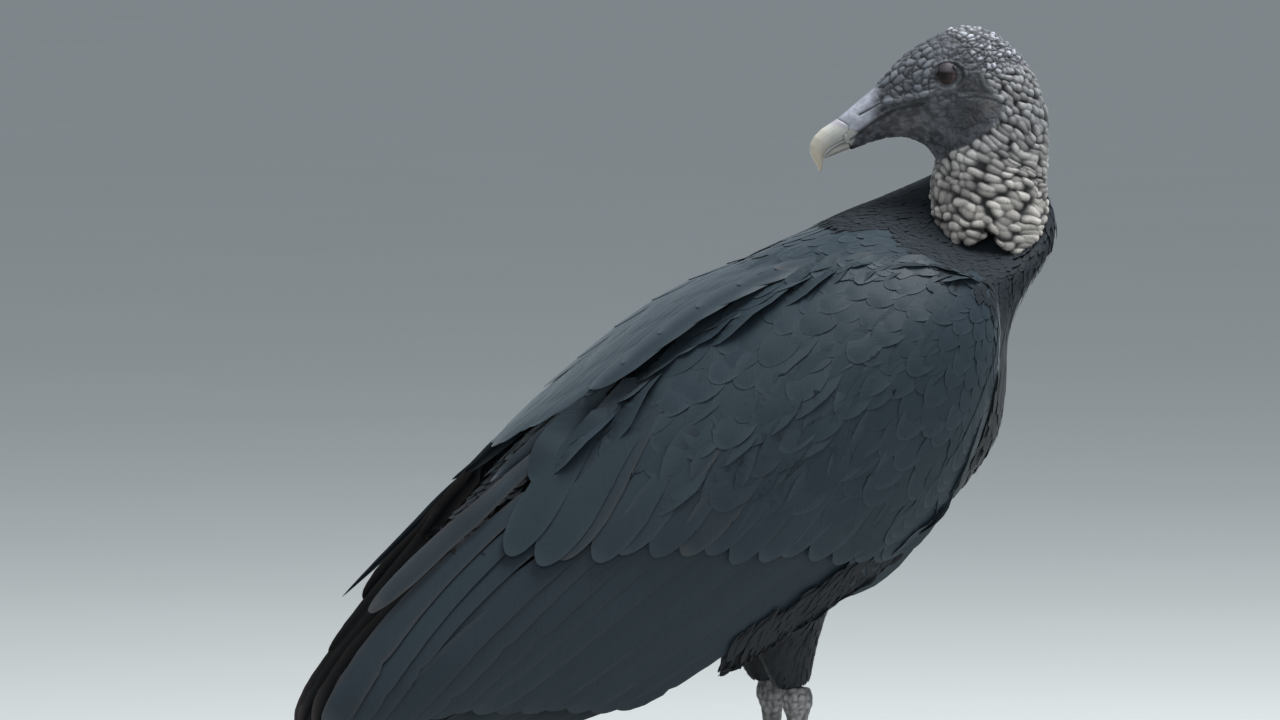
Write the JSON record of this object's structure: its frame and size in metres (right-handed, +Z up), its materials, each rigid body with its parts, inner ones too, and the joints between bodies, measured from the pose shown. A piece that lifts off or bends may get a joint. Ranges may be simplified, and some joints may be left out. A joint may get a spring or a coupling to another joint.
{
  "type": "black vulture",
  "caption": "Life-size still model of a standing black vulture, with folded wings and its bare wrinkled head turned to look back over its tail.",
  "frame": {"origin": "middle of the underside of the bird's bounding box, on the floor between and a little behind the feet", "axes": "+X is the way that the body and toes face, +Y is the bird's left side, +Z is up; the head looks back towards -X and a little towards +Y"},
  "size_m": [0.391, 0.1832, 0.4147],
  "materials": {
    "plumage": "blue-grey sheen on black feathers, satin",
    "head_skin": "bare blue-grey skin, wrinkled, satin",
    "neck_skin": "bare pale grey skin in rows of warty folds, matte",
    "horn": "pale ivory horn, satin",
    "eye": "dark brown, wet gloss",
    "leg_skin": "whitish grey scales, matte",
    "claw": "dark horn, satin"
  },
  "bodies": {
    "root": {"bill_lower": "horn", "bill_upper": "horn", "claw_hind_toe_left": "claw", "claw_hind_toe_right": "claw", "claw_inner_toe_left": "claw", "claw_inner_toe_right": "claw", "claw_middle_toe_left": "claw", "claw_middle_toe_right": "claw", "claw_outer_toe_left": "claw", "claw_outer_toe_right": "claw", "eye_left": "eye", "eye_right": "eye", "head": "head_skin", "hind_toe_left": "leg_skin", "hind_toe_right": "leg_skin", "inner_toe_left": "leg_skin", "inner_toe_right": "leg_skin", "middle_toe_left": "leg_skin", "middle_toe_right": "leg_skin", "neck_bare": "neck_skin", "neck_feathered": "plumage", "outer_toe_left": "leg_skin", "outer_toe_right": "leg_skin", "primaries_left": "plumage", "primaries_right": "plumage", "shank_left": "leg_skin", "shank_right": "leg_skin", "tail": "plumage", "thigh_left": "plumage", "thigh_right": "plumage", "trunk": "plumage", "wing_left": "plumage", "wing_right": "plumage"}
  },
  "joints": []
}
